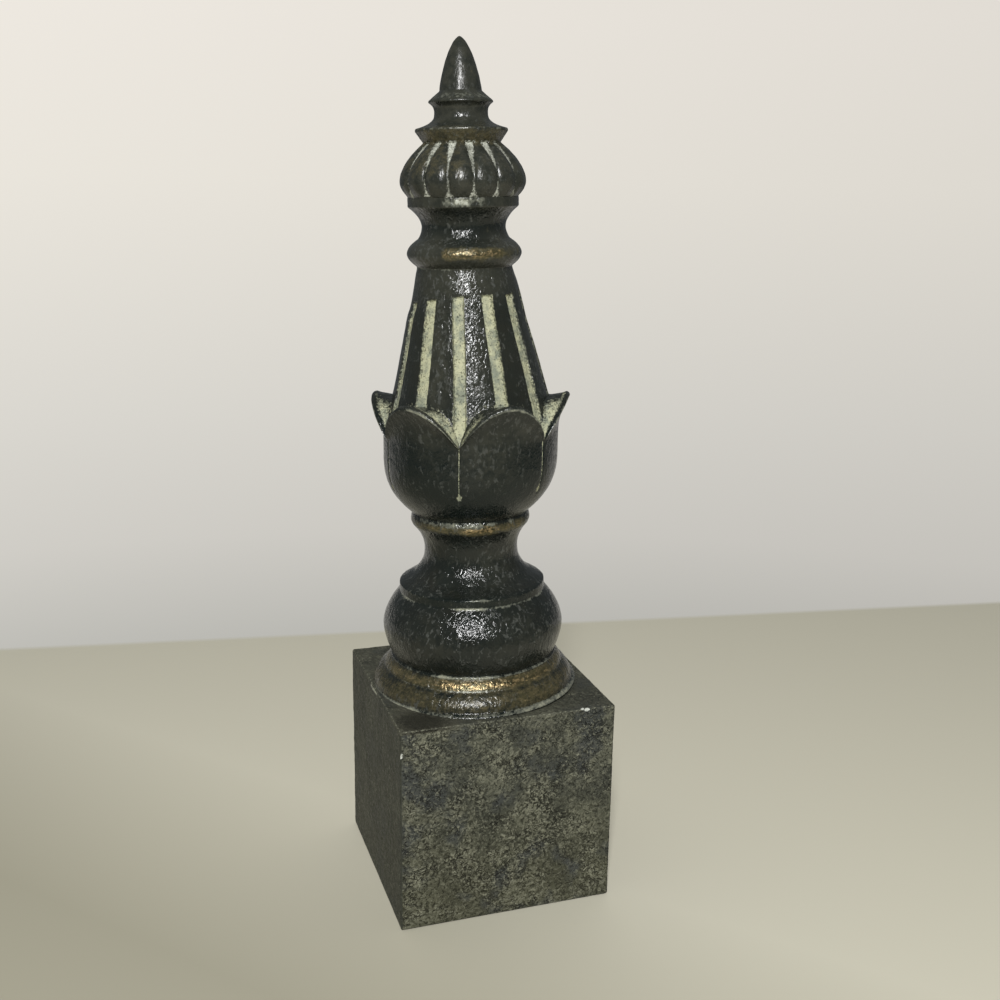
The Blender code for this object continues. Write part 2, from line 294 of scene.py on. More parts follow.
def makeVarnish():
    material, tree, shader, place = newMaterial("agedVarnish", 0.3)
    ramp, mark, coat, product, total = helpersFor(tree)
    speck, gaps, patch, broad, blotch, dirtAndShade = cloudsOf(tree, place, varnishClouds)
    strokes = cloudOf(tree, stretchedBy(tree, place, (0, 0, 0), 1.8), 1.6, 2.0, 0.55, 0.6)
    ringStroke = cloudOf(tree, roundTheAxis(tree, place, 11.0), 0.8, 3.0, 0.65)
    ragged = calc(tree, "SUBTRACT", speck, 0.5)
    broken = calc(tree, "SUBTRACT", gaps, 0.5)
    grit, chalk, scuff, giltMark, washMark = map(mark, ("grit", "chalk", "scuff", "gilt", "wash"))
    tone = finishColors

    # Deeper where the varnish lies smooth, dull where it is chalky or scuffed, and paler in given
    # places as a painted sheen
    chalky = product(chalk, ramp(gaps, 0.35, 0.6, 0.5, 1.0))
    dull = total(mark("dull"), (scuff, ramp(gaps, 0.4, 0.6, 0.35, 0.9)))
    base = coat(
        tone.varnish,
        (ramp(patch, 0.42, 0.66), tone.varnishGreen),
        (ramp(broad, 0.54, 0.68), tone.varnishBrown),
        (ramp(grit, 0.66, 0.85, 0.95, 0.0), tone.varnishDeep),
        (chalky, tone.varnishDull),
        (ramp(dull, 0.0, 1.0), tone.varnishDull),
    )

    # Brush strokes whose crests are rubbed grey, in patches
    crest = ramp(total(strokes, (ragged, 0.5), (scuff, 0.06)), 0.58, 0.7)
    where = calc(tree, "ADD", ramp(patch, 0.42, 0.6), scuff, clamp=True)
    rubbed = product(crest, where, grit, 0.85)

    # Gilt rubbed on the rings: an olive brown drawn out along them, with gold where it is thick.
    # The thicker gilt and gold on the rings' fronts is partly a painted highlight
    gilt = ramp(total(giltMark, (ragged, 0.6), (broken, 0.6)), 0.15, 0.5)
    warm = product(ramp(ringStroke, 0.4, 0.62), ramp(giltMark, 0.2, 0.8, 0.35, 1.0))
    goldAndGlint = total(giltMark, (ragged, 1.0), (ramp(ringStroke, 0.3, 0.7, -0.35, 0.35), 1.0))
    goldAndGlint = ramp(goldAndGlint, 0.72, 1.02)
    giltTone = coat(tone.giltDark, (warm, tone.giltWarm), (goldAndGlint, tone.giltBright))

    # Worn edges, and on the rings' fronts painted highlights: a pale line that breaks up
    edge = total(mark("edge"), (ragged, 1.2), (broken, 1.1))
    # Chalk white in the crown, partly as the fillet's painted highlight
    chalkEdgeAndHighlight = product(chalk, ramp(edge, 0.85, 1.1))
    paler = ramp(edge, 0.7, 1.05)
    wearAndHighlightTone = coat(tone.wornDull, (paler, tone.worn), (chalkEdgeAndHighlight, tone.washChalk))

    # Cream wash in the flutes and hollows, with dark specks of dirt, and darker along its edges as
    # painted shade
    wash = ramp(total(washMark, (ragged, 0.8), (broken, 0.35)), 0.42, 0.6)
    blotch = ramp(blotch, 0.44, 0.62)
    chalkTone = coat(tone.washChalk, (blotch, tone.chalkGrey))
    # Painted shade: the dark colour thickens towards the wash's edges, where the flutes' walls
    # would shade it
    dirtAndShade = total(dirtAndShade, (ramp(washMark, 0.5, 1.0, 0.11, 0.0), 1.0), (broken, 0.25))
    dirtAndShade = ramp(dirtAndShade, 0.555, 0.66, 0.0, 0.85)
    washTone = coat(tone.wash, (blotch, tone.washGrey), (chalk, chalkTone), (dirtAndShade, tone.washDirt))
    worn = ramp(edge, 0.42, 0.66, 0.0, 0.95)
    base = coat(base, (gilt, giltTone), (rubbed, tone.brushed), (worn, wearAndHighlightTone), (wash, washTone))

    bare = calc(tree, "SUBTRACT", 1.0, wash, clamp=True)
    metal = product(gilt, bare, ramp(giltMark, 0.45, 0.9, 0.15, 0.75))
    gloss = calc(tree, "ADD", ramp(speck, 0.35, 0.65, 0.08, 0.17), ramp(grit, 0.4, 1.0, 0.18, 0.0))
    gloss = blendValue(tree, gilt, blendValue(tree, wash, gloss, 0.8), 0.31)
    height = total(product(strokes, 0.8), (speck, 0.2))
    strength = product(grit, ramp(patch, 0.32, 0.62, 0.6, 1.0))
    links = {"Strength": strength, "Distance": 0.72 * mm, "Height": height}
    bump = add(tree, "Bump", links)
    links = {"Base Color": base, "Metallic": metal, "Roughness": gloss, "Normal": bump}
    feed(tree, shader, links | {"Specular IOR Level": 0.41})
    return material


def makeBlockPaint():
    material, tree, shader, place = newMaterial("crackledPaint", 0.5)
    ramp, mark, coat, product, total = helpersFor(tree)
    broad, choice, blue, patches, parted, ragged = cloudsOf(tree, place, paintClouds)
    drawn = [stretchedBy(tree, place, turn, 2.6) for turn in strokeTurns]
    leaning, crossing, lying = (cloudOf(tree, one, 1.3, 3.0, 0.58, 1.0) for one in drawn)
    strokes = blendValue(tree, ramp(choice, 0.5, 0.56), leaning, crossing)
    strokes = blendValue(tree, ramp(choice, 0.4, 0.46, 1.0, 0.0), strokes, lying)
    streaks = cloudOf(tree, stretchedBy(tree, place, (0, 0, 0), 8.0), 2.2, 3.0, 0.6)
    rise = add(tree, "SeparateXYZ", {0: place}, 2)
    calm = mark("calm")
    lively = ramp(calm, 0.0, 1.0, 1.0, 0.25)
    blue = ramp(blue, 0.52, 0.62)
    tone = blockColors
    base = coat(
        tone.dark,
        (ramp(broad, 0.38, 0.58), tone.middle),
        (ramp(rise, 15 * mm, 60 * mm, 0.45, 0.0), tone.olive),
        (product(blue, 0.8), tone.blue),
        # Painted shade: the calm sides, the left most of all, are darkened with the still colour
        (product(calm, 0.95), tone.still),
        (product(ramp(streaks, 0.46, 0.66), calm, 0.45), tone.middle),
    )

    # The wrinkled skin of the paint: a bent net of cells, dark in its lines and pale beside them
    bend = {"Vector": place, "Scale": 1 / (2.6 * mm), "Detail": 3.0}
    bend = vectorCalc(tree, "SCALE", add(tree, "TexNoise", bend, "Color"), 6 * mm)
    cells = {"Vector": vectorCalc(tree, "ADD", place, bend), "Scale": 1 / (3.1 * mm)}
    gap = add(tree, "TexVoronoi", cells, "Distance", feature="DISTANCE_TO_EDGE")
    wrinkled = product(ramp(patches, 0.44, 0.56), lively)
    crack = product(ramp(gap, 0.02, 0.1, 1.0, 0.0), wrinkled, ramp(parted, 0.42, 0.54), 0.9)
    beside = product(ramp(gap, 0.05, 0.1), ramp(gap, 0.12, 0.3, 1.0, 0.0), wrinkled)
    pits = product(ramp(strokes, 0.33, 0.42, 1.0, 0.0), lively, 0.6)
    crack = calc(tree, "MAXIMUM", crack, pits)

    # Pale crests, fewer where the paint is blue, calm or painted in shade
    covered = ramp(broad, 0.35, 0.6, 0.06, -0.03)
    covered = total(product(blue, 0.05), (calm, 0.08), (covered, 1.0))
    crest = total(calc(tree, "SUBTRACT", strokes, covered), (beside, 0.09))
    crest = product(ramp(crest, 0.48, 0.67), lively, ramp(patches, 0.42, 0.58, 0.5, 1.0))

    # Dark corners, the stain round the finial, and the pale line along the top's edges, partly wear
    # and partly a painted highlight
    ragged = calc(tree, "SUBTRACT", ragged, 0.5)
    edge = total(mark("edge"), (ragged, 1.4))
    stain = calc(tree, "ADD", mark("stain"), ragged)
    # Pale line of the top's edges: wear, and a painted highlight where the edges catch the light
    wear = total(mark("wear"), (ragged, 2.0))
    base = coat(
        base,
        (crest, tone.stroke),
        (product(crack, 0.8), tone.crack),
        (ramp(edge, 0.5, 0.9, 0.0, 0.8), tone.dark),
        (ramp(stain, 0.2, 0.6, 0.0, 0.75), tone.brown),
        (ramp(stain, 0.6, 1.0, 0.0, 0.85), tone.brownDark),
        (ramp(wear, 0.66, 0.95, 0.0, 0.8), tone.stroke),
    )
    for x, y, z, width, tall in block.chips:
        away = vectorCalc(tree, "SUBTRACT", place, (x * mm, y * mm, z * mm))
        away = vectorCalc(tree, "DIVIDE", away, (width * mm, width * mm, tall * mm))
        reach = total(vectorCalc(tree, "LENGTH", away), (ragged, 1.5))
        base = coat(base, (ramp(reach, 0.75, 1.0, 1.0, 0.0), tone.chip))

    height = total(calc(tree, "SUBTRACT", strokes, product(crack, 0.6)), (beside, 0.2))
    strength = ramp(calm, 0.0, 1.0, 1.0, 0.3)
    bump = add(tree, "Bump", {"Strength": strength, "Distance": 1.1 * mm, "Height": height})
    links = {"Base Color": base, "Roughness": ramp(strokes, 0.35, 0.65, 0.62, 0.42)}
    feed(tree, shader, links | {"Normal": bump, "Specular IOR Level": 0.14})
    return material


varnish = makeVarnish()

# World azimuth of the finial's side that faces the camera
towardsCamera = -106.8

# The finial's sizes, from its foot up. Heights are from the block's top.
turning = Sizes(
    fillerRadius=43.3, fillerHeight=1.3,
    baseRadius=41.7, baseHeight=8.2, baseTopRadius=37.2, baseRoundness=2.5,
    beadInset=0.3, beadStep=0.6, beadHeight=5.0, beadBulge=0.35, lipRadius=0.5,
    bunSeatRadius=33.6, bunRadius=37.25, bunHeight=27.2, bunBellyHeight=12.6, bunRoundness=1.8,
    bandRadius=29.9, bandHeight=3.4,
    shoulderHeight=3.7, shoulderTopRadius=23.8,
    waistRadius=19.05, waistLowHeight=10.3, waistHighHeight=11.1, waistRoundness=2.2,
    collarRadius=24.35, collarHeight=4.9, collarBulge=0.3,
    cupSeatRadius=23.5,
    columns=240, rowSpacing=1.2, bendWeight=3.4, cornerRound=0.22, weld=0.004, sharpAngle=62.0,
    hand={"Sway": (0.14, 26.0), "Lump": (0.1, 4.5), "Ripple": (0.1, 1.8)},
)

petals = Sizes(
    count=6, angle=5.5,
    cupRadius=35.1, cupSwellHeight=23.2, cupRoundness=2.45, cupWallHeight=8.9,
    rise=16.1, flare=5.9, curl=2.1,
    lipWidth=2.4, lipDrop=1.4,
    rootRise=14.3, rootShape=4.2,
    lineFoot=21.3, lineWidth=0.55, lineDepth=0.35,
    tearWidth=2.3, tearHeight=3.7, lineWash=0.72, tearWash=0.85, lipEdge=0.9,
    rows=Sizes(cup=21, outside=23, lip=7, slope=9, foot=9, flutes=28, fluteEnd=9, top=7),
)

body = Sizes(
    inset=0.25, topRadius=18.6, height=64.5,
    fluteDepth=1.1, fluteTopWidth=4.7, fluteFootWidth=5.2, fluteTopMargin=9.8,
    fluteFootMargin=1.5, fluteWall=0.45, paintFade=0.8, paintInset=0.04,
)

upper = Sizes(
    torusSeatInset=0.1, torusSeatGroove=0.9, torusRadius=22.25, torusHeight=10.5,
    torusBellyHeight=5.0, torusTopRadius=17.7, torusRoundness=1.9,
    neckRadius=16.2, neckLowHeight=4.5, neckHighHeight=7.5, neckRoundness=1.9,
    filletRadius=21.4, filletHeight=3.5, rowSpacing=0.75,
)

bulb = Sizes(
    seatInset=0.2, radius=24.4, bellyHeight=5.7, height=20.0, topRadius=14.8, roundness=1.85,
    lobes=15, angle=-0.5, grooveDepth=1.3,
    wedge=0.12, topWedge=0.46, topWedgeShape=1.6, footWedge=0.3,
    # Wash in the grooves: how softly it ends, and how it grows away from one height
    washFade=0.45, washLeast=0.6, washLeastAt=0.4, washMost=0.85,
    rowSpacing=0.8, bendWeight=2.0, crowding=1.45,
)

crown = Sizes(
    collarRadius=17.7, collarRim=0.9, flareHeight=4.1,
    hollowRadius=10.15, hollowLowHeight=5.7, hollowHighHeight=3.7, hollowRoundness=3.0,
    smallRadius=12.3, smallRim=0.6, smallSlope=2.9,
    budSeatRadius=8.8, budRadius=8.1, budStep=0.6, budHeight=20.05, budTaper=1.35,
    budBluntness=0.6, rowSpacing=0.85,
)

stand = Sizes(
    seatX=-1.2, seatY=0.4,
    lean=1.78, leanTowards=161.3, sideways=-18.7,
    bows=((1.15, 118.0, 48.0), (-0.6, 2.0, 13.0)),
    fluteTilt=2.0, fluteEnd=160.6, fluteTiltReach=10.0,
    fluteLift={-98: 0.0, -68: -0.6, -38: 0.45, -8: 0.9, 22: 0.3, 52: -1.1, 82: 0.0},
)

# Columns and turn of one petal, whose sector holds two flutes
sectorColumns = turning.columns // petals.count
petalTurn = 360 / petals.count
fluteTurn = petalTurn / 2
# Where the flutes start and end, from the notches up
fluteFoot = petals.rootRise + body.fluteFootMargin
fluteTop = body.height - body.fluteTopMargin


def swell(start, belly, end, power, steps=30):
    # Leaves the belly's radius by a power of the height, both ways
    def curve(end):
        wide, tall = end[0] - belly[0], end[1] - belly[1]
        shares = np.linspace(1, 0, steps)
        return [(belly[0] + wide * s**power, belly[1] + tall * s) for s in shares]

    return curve(start)[1:] + curve(end)[-2::-1]


def resample(path, along, at):
    return np.stack([np.interp(at, along, path[:, k]) for k in (0, 1)], -1)


def evenOut(grid, passes=1):
    for _ in range(passes):
        grid[1:-1] = (grid[:-2] + 2 * grid[1:-1] + grid[2:]) / 4
    return grid


def soften(path, reach):
    # Rounds the corners of an outline, its ends staying where they are
    path = np.array(path, float)
    lengths = np.r_[0, np.cumsum(np.hypot(*np.diff(path, axis=0).T))]
    count = int(lengths[-1] / (reach / 3)) + 2
    return evenOut(resample(path, lengths, np.linspace(0, lengths[-1], count)), 18)


def pickRows(path, spacing, bendWeight):
    # Rows lie closer together where the outline bends
    step = np.diff(path, axis=0)
    length = np.hypot(*step.T)
    heading = np.unwrap(np.arctan2(step[:, 1], step[:, 0]))
    bend = np.r_[0, np.abs(np.diff(heading))]
    measure = np.r_[0, np.cumsum(length / spacing + bend * bendWeight)]
    return resample(path, measure, np.linspace(0, measure[-1], int(round(measure[-1])) + 1))


def writeMarks(mesh, marks):
    for label, values in marks.items():
        layer = mesh.attributes.get(label) or mesh.attributes.new(label, "FLOAT", "POINT")
        layer.data.foreach_set("value", values.astype(np.float32))


def placeObject(name, data):
    made = bpy.data.objects.new(name, data)
    scene.collection.objects.link(made)
    return made


def gridObject(name, angle, radius, height, marks):
    # A sector of the finial from arrays of rows by columns
    angle, radius, height = np.broadcast_arrays(angle, radius, height)
    points = np.stack([radius * np.cos(angle), radius * np.sin(angle), height], -1) * mm
    index = np.arange(radius.size).reshape(radius.shape)
    faces = np.stack([index[:-1, :-1], index[:-1, 1:], index[1:, 1:], index[1:, :-1]], -1)
    mesh = bpy.data.meshes.new(name)
    mesh.from_pydata(points.reshape(-1, 3).tolist(), [], faces.reshape(-1, 4).tolist())
    blank = {"wash": 0.0, "edge": 0.0, "slope": 0.0}
    marks = {k: np.broadcast_to(v, radius.shape).ravel() for k, v in (blank | marks).items()}
    writeMarks(mesh, marks)
    return placeObject(name, mesh)


def turnedZone(name, path, spacing):
    # One column's width of a turning, to be repeated all round
    rows = pickRows(soften(path, turning.cornerRound), spacing, turning.bendWeight)
    angle = radians(petals.angle) + np.array([[0.0, radians(360 / turning.columns)]])
    return gridObject(name, angle, rows[:, :1], rows[:, 1:], {})


def lowerPath():
    t = turning
    # The foot, with the filler pressed out along its joint
    path = [(t.fillerRadius, 0.0), (t.fillerRadius - 0.1, 0.3 * t.fillerHeight)]
    path += [(t.baseRadius + 0.1, t.fillerHeight)]
    start = t.fillerHeight / t.baseHeight
    for share in np.linspace(start + 0.06, 1.0, 17):
        narrowing = (t.baseTopRadius - t.baseRadius) * share ** t.baseRoundness
        path.append((t.baseRadius + narrowing, t.baseHeight * share))
    bead = t.baseTopRadius - t.beadInset
    beadFoot = t.baseHeight + t.beadStep
    seat = t.baseHeight + t.beadHeight
    beadEnd = 0.84
    for share in np.linspace(0, beadEnd, 8):
        bulge = t.beadBulge * sin(pi * share / beadEnd)
        radius = bead + (t.bunSeatRadius - bead) * share + bulge
        path.append((radius, beadFoot + (seat - beadFoot) * share))
    lipRadius, lipHeight = t.bunSeatRadius + 0.4, seat - 0.35
    for turn in np.radians(np.linspace(-50, 100, 7)):
        path.append((lipRadius + t.lipRadius * cos(turn), lipHeight + t.lipRadius * sin(turn)))
    path.append((t.bunSeatRadius, seat + 0.2))
    top = seat + t.bunHeight
    belly = (t.bunRadius, seat + t.bunBellyHeight)
    path += swell(path[-1], belly, (t.bandRadius, top), t.bunRoundness)
    foot = (t.shoulderTopRadius, top + t.bandHeight + t.shoulderHeight)
    path += [(t.bandRadius, top + t.bandHeight), foot]
    waist = (t.waistRadius, foot[1] + t.waistLowHeight)
    collar = waist[1] + t.waistHighHeight
    path += swell(foot, waist, (t.shoulderTopRadius, collar), t.waistRoundness)
    radii = (t.collarRadius, t.collarRadius - t.collarBulge, t.cupSeatRadius)
    for radius, share in zip(radii, (0.3, 0.65, 1)):
        path.append((radius, collar + share * t.collarHeight))
    return path


def neckPath(bodyTop):
    u = upper
    seat = (body.topRadius - u.torusSeatInset, bodyTop + u.torusSeatGroove)
    top = (u.torusTopRadius, seat[1] + u.torusHeight)
    belly = (u.torusRadius, seat[1] + u.torusBellyHeight)
    path = [(body.topRadius, bodyTop), seat] + swell(seat, belly, top, u.torusRoundness)
    neck = (u.neckRadius, top[1] + u.neckLowHeight)
    fillet = (u.filletRadius, neck[1] + u.neckHighHeight)
    path += swell(top, neck, fillet, u.neckRoundness)
    high = fillet[1] + u.filletHeight
    return path + [(u.filletRadius, high), (u.filletRadius - bulb.seatInset, high)]


def crownPath(bulbTop):
    c = crown
    rim = bulbTop + c.flareHeight
    path = [(bulb.topRadius, bulbTop), (c.collarRadius, rim)]
    path.append((c.collarRadius - 0.2, rim + c.collarRim))
    hollow = (c.hollowRadius, path[-1][1] + c.hollowLowHeight)
    small = (c.smallRadius, hollow[1] + c.hollowHighHeight)
    path += swell(path[-1], hollow, small, c.hollowRoundness)
    seat = small[1] + c.smallRim + c.smallSlope
    path += [(c.smallRadius - 0.1, small[1] + c.smallRim), (c.budSeatRadius, seat)]
    foot = c.budStep / c.budHeight
    for share in np.r_[np.linspace(foot, 0.9, 16), 0.94, 0.97, 0.99, 0.998]:
        radius = c.budRadius * (1 - share ** c.budTaper) ** c.budBluntness
        path.append((radius, seat + share * c.budHeight))
    return path, seat + c.budHeight


def bodyRadius(height):
    foot = petals.cupRadius - body.inset
    return foot + (body.topRadius - foot) * height / body.height


def fluteWidth(height):
    return np.interp(height, [fluteFoot, fluteTop], [body.fluteFootWidth, body.fluteTopWidth])


def fluteColumns(height):
    # Angles of a flute's columns: three on each half of the floor, then the wall, then the band
    mouth = degrees(fluteWidth(height) / 2 / bodyRadius(height))
    floor = mouth - degrees(body.fluteWall / bodyRadius(height))
    half = list(np.linspace(0, floor, 4)) + [mouth]
    band = list(np.linspace(mouth, fluteTurn - mouth, sectorColumns // 2 - 7))[1:-1]
    flute = half + band + [fluteTurn - a for a in half[:0:-1]]
    return np.array(flute + [fluteTurn + a for a in flute] + [petalTurn])


def notchColumns():
    # Angles that crowd round the line below a notch
    near = [degrees(petals.lineWidth / 2 * k / petals.cupRadius) for k in (0, 1, 2.6)]
    half = near + list(np.linspace(near[-1], petalTurn / 2, sectorColumns // 2 - 1))[1:]
    return np.array(half + [petalTurn - a for a in half[-2::-1]])


def petalShape(phi):
    place = np.abs(2 * phi / petalTurn - 1)
    return place, 1 - place**2


def petalRadius(height, arch):
    share = np.clip(height, 0, None) / np.maximum(petals.rise * arch, 1e-6)
    reach = petals.flare * np.sqrt(np.maximum(arch, 0)) * share ** petals.curl
    return petals.cupRadius + np.where((height > 0) & (arch > 1e-6), reach, 0.0)


def flutedRadius(height, column):
    # The body's surface, cut in on the flutes' floors
    across = column % (sectorColumns // 2)
    onFloor = (across <= 3) | (across >= sectorColumns // 2 - 3)
    cut = onFloor * unit((fluteTop - height) / body.fluteWall)
    return bodyRadius(height) - body.fluteDepth * cut


def flutePaint(phi, height):
    # How far inside a flute's painted outline a point lies: 0.5 on the outline, 1 well inside
    away = np.minimum(phi % fluteTurn, fluteTurn - phi % fluteTurn)
    across = away * pi / 180 * bodyRadius(height)
    beside = fluteWidth(height) / 2 - body.paintInset - across
    return unit(0.5 + np.minimum(beside, fluteTop - height) / (2 * body.paintFade))


def petalZone(cupSeat):
    p = petals
    steps = p.rows
    wallFoot = cupSeat + p.cupSwellHeight
    notch = wallFoot + p.cupWallHeight
    column = np.arange(sectorColumns + 1)
    even = petalTurn / sectorColumns * column
    crowded = notchColumns()
    rows = []

    def level(*values):
        # One row: angle, radius, height, then as many of wash, edge and slope as it has
        values += (0.0,) * (6 - len(values))
        rows.append([np.broadcast_to(x, column.shape).astype(float) for x in values])

    # The cup below the notches, with the incised line and its teardrop
    lineFoot = notch - p.lineFoot
    for share in np.linspace(1, 0, steps.cup)[:-1]:
        height = cupSeat + p.cupSwellHeight * (1 - share)
        phi = even + (crowded - even) * unit((height - lineFoot + 6) / 4)
        narrowing = (p.cupRadius - turning.cupSeatRadius) * share ** p.cupRoundness
        level(phi, p.cupRadius - narrowing, height)

    # The petals' outside
    place, arch = petalShape(crowded)
    top = p.rise * arch
    drop = p.lipDrop * arch
    for share in np.linspace(0, 1, steps.outside):
        height = wallFoot + (p.cupWallHeight + top - drop) * share
        edge = p.lipEdge * (share == 1)
        level(crowded, petalRadius(height - notch, arch), height, 0.0, edge)
    outsideRows = len(rows)

    # Over the lip
    lip = petalRadius(top - drop, arch)
    width = np.minimum(p.lipWidth, 0.6 * (lip - bodyRadius(top)))
    outer = np.stack([lip, notch + top - drop])
    crest = np.stack([lip - width / 2, notch + top])
    inner = np.stack([lip - width, notch + top - drop / 4])
    control = 2 * crest - (outer + inner) / 2
    for share in np.linspace(0, 1, steps.lip)[1:]:
        point = (1 - share) ** 2 * outer + 2 * share * (1 - share) * control + share**2 * inner
        level(crowded, *point, 0.6 * share, max(0.0, p.lipEdge - 2.2 * share), share)

    # The petals' tops, sloping in to the body
    fluted = fluteColumns(0.0)
    place, arch = petalShape(fluted)
    rootHeight = p.rootRise * (1 - place ** p.rootShape)
    root = np.stack([flutedRadius(rootHeight, column), notch + rootHeight])
    slopeWash = 0.42 + 0.55 * unit((place - 0.2) / 0.4)
    for share in np.linspace(0, 1, steps.slope)[1:]:
        phi = crowded + (fluted - crowded) * share
        point = inner + (root - inner) * share
        level(phi, *point, slopeWash * (1 - 0.5 * share), 0.0, 1.0)

    # The fluted body, cream in its flutes and speckled where it rises from the petals
    for share in np.linspace(0, 1, steps.foot)[1:-1]:
        height = rootHeight + (fluteFoot - rootHeight) * share
        speckle = unit(0.46 - 0.07 * (height - rootHeight))
        wash = np.maximum(flutePaint(fluted, height), speckle)
        level(fluted, flutedRadius(height, column), notch + height, wash)
    low, high = fluteTop - 2, fluteTop + 0.8
    heights = np.linspace(fluteFoot, low, steps.flutes)
    heights = np.r_[heights, np.linspace(low, high, steps.fluteEnd)[1:]]
    for height in np.r_[heights, np.linspace(high, body.height, steps.top)[1:]]:
        phi = even + (fluteColumns(height) - even) * unit((body.height - height) / 5.0)
        level(phi, flutedRadius(height, column), notch + height, flutePaint(phi, height))

    phi, radius, height, wash, edge, slope = [np.array([row[k] for row in rows]) for k in range(6)]
    evenOut(radius)
    evenOut(height)

    # The incised line with its teardrop, on both sides of the sector
    outside = (np.arange(len(rows)) < outsideRows)[:, None]
    aside = np.minimum(phi, petalTurn - phi) * pi / 180 * radius
    onLine = outside & (height > lineFoot) & (height < notch + 0.3)
    line = onLine * unit(1 - aside / p.lineWidth)
    tear = ((height - lineFoot - p.tearHeight / 2) / (p.tearHeight / 2)) ** 2
    tear = outside * unit(1.15 - tear - (aside / (p.tearWidth / 2)) ** 2)
    radius -= p.lineDepth * np.maximum(line, tear)
    wash = np.maximum(wash, np.maximum(p.lineWash * line, p.tearWash * tear))
    marks = {"wash": wash, "edge": edge, "slope": slope}
    return gridObject("petalSector", np.radians(p.angle + phi), radius, height, marks), notch


def bulbZone(seat):
    b = bulb
    foot = (upper.filletRadius - b.seatInset, seat)
    belly = (b.radius, seat + b.bellyHeight)
    top = (b.topRadius, seat + b.height)
    path = soften([foot] + swell(foot, belly, top, b.roundness), turning.cornerRound)
    rows = pickRows(path, b.rowSpacing, b.bendWeight)
    share = ((rows[:, 1] - seat) / b.height)[:, None]

    # Columns crowd round the grooves, away from the bulb's two ends
    half = turning.columns // b.lobes // 2
    even = np.linspace(0, 1, half + 1)
    blend = unit(10 * share) * unit(10 * (1 - share))
    away = even + (even**b.crowding - even) * blend
    place = np.concatenate([away / 2, 1 - away[:, -2::-1] / 2], axis=1)
    away = np.concatenate([away, away[:, -2::-1]], axis=1)

    wedge = b.wedge + b.topWedge * unit(2 * share - 1) ** b.topWedgeShape
    wedge += b.footWedge * unit(1 - share / 0.12)
    rise = unit((away - wedge) / (1 - wedge))
    crownShare = np.sqrt(1 - (1 - rise) ** 2)
    fade = unit(6 * share) * unit((1 - share) * 40)
    radius = rows[:, :1] - b.grooveDepth * fade * (1 - crownShare)
    wash = unit(0.5 + (wedge - away) / b.washFade)
    wash *= np.minimum(b.washLeast + 0.9 * np.abs(share - b.washLeastAt), b.washMost)
    angle = np.radians(b.angle + 360 / b.lobes * place)
    return gridObject("bulbSector", angle, radius, rows[:, 1:], {"wash": wash})


def joinParts(parts, name):
    chosen = {"active_object": parts[0], "object": parts[0]}
    chosen |= {"selected_objects": parts, "selected_editable_objects": parts}
    with bpy.context.temp_override(**chosen):
        bpy.ops.object.join()
    parts[0].name = name
    return parts[0]


def closeEnds(obj, tipHeight):
    # Welds the zones, then closes the foot with one face and the tip with a fan
    builder = bmesh.new()
    builder.from_mesh(obj.data)
    bmesh.ops.remove_doubles(builder, verts=builder.verts, dist=turning.weld * mm)
    edges = [e for e in builder.edges if e.is_boundary]
    low = [e for e in edges if e.verts[0].co.z < 1 * mm]
    high = [e for e in edges if e.verts[0].co.z > (tipHeight - 3) * mm]
    print("open edges", len(edges), "foot", len(low), "tip", len(high))
    bmesh.ops.contextual_create(builder, geom=low)
    tip = builder.verts.new((0, 0, tipHeight * mm))
    for edge in high:
        builder.faces.new((edge.verts[0], edge.verts[1], tip))
    settle(builder, obj.data)


def settle(builder, mesh):
    bmesh.ops.recalc_face_normals(builder, faces=builder.faces)
    builder.to_mesh(mesh)
    builder.free()


def unit(value):
    # Keeps values between 0 and 1
    return np.clip(value, 0, 1)


def halfTurn(angle):
    return (angle + 180) % 360 - 180


def readTable(value, table):
    return np.interp(value, list(table), list(table.values()))


def bellAt(value, centre, reach):
    return unit(1 - ((value - centre) / reach) ** 2) ** 2


def readPoints(mesh):
    points = np.zeros(len(mesh.vertices) * 3)
    mesh.vertices.foreach_get("co", points)
    return points.reshape(-1, 3) / mm


def standUp(obj):
    # Bows the turning to one side, tilts the flutes' ends, leans it and sets it on the block
    s = stand
    points = readPoints(obj.data)
    x, y, z = points.T
    side = radians(s.sideways)
    azimuth = halfTurn(np.degrees(np.arctan2(y, x)) - towardsCamera)
    lift = s.fluteTilt * (x * cos(side) + y * sin(side)) / (np.hypot(x, y) + 1e-6)
    lift += readTable(azimuth, s.fluteLift)
    z += lift * bellAt(z, s.fluteEnd, s.fluteTiltReach)
    shift = sum(bow * bellAt(z, middle, reach) for bow, middle, reach in s.bows)
    x += shift * cos(side)
    y += shift * sin(side)
    obj.data.vertices.foreach_set("co", (points * mm).ravel())
    direction = radians(s.leanTowards)
    axis = Vector((-sin(direction), cos(direction), 0))
    seat = Matrix.Translation(Vector((s.seatX, s.seatY, blockTop)) * mm)
    obj.data.transform(seat @ Matrix.Rotation(radians(s.lean), 4, axis))


def makeFinial():
    columns = turning.columns
    lower = lowerPath()
    petalSector, notch = petalZone(lower[-1][1])
    neck = neckPath(notch + body.height)
    crownOutline, tip = crownPath(neck[-1][1] + bulb.height)
    zones = [
        (turnedZone("lowerTurning", lower, turning.rowSpacing), columns),
        (petalSector, petals.count),
        (turnedZone("neckTurning", neck, upper.rowSpacing), columns),
        (bulbZone(neck[-1][1]), bulb.lobes),
        (turnedZone("crownTurning", crownOutline, crown.rowSpacing), columns),
    ]
    for obj, copies in zones:
        runTree(obj, roundTree, {"Copies": copies, "Weld": turning.weld * mm, "Finish": varnish})
    finial = joinParts([obj for obj, copies in zones], "finialTurned")
    closeEnds(finial, tip)
    markFinish(finial)
    roughen(finial, turning.hand, (0.31, 0.12, 0.05), varnish)
    standUp(finial)
    finial.data.shade_smooth()
    finial.data.set_sharp_from_angle(angle=radians(turning.sharpAngle))
    return finial
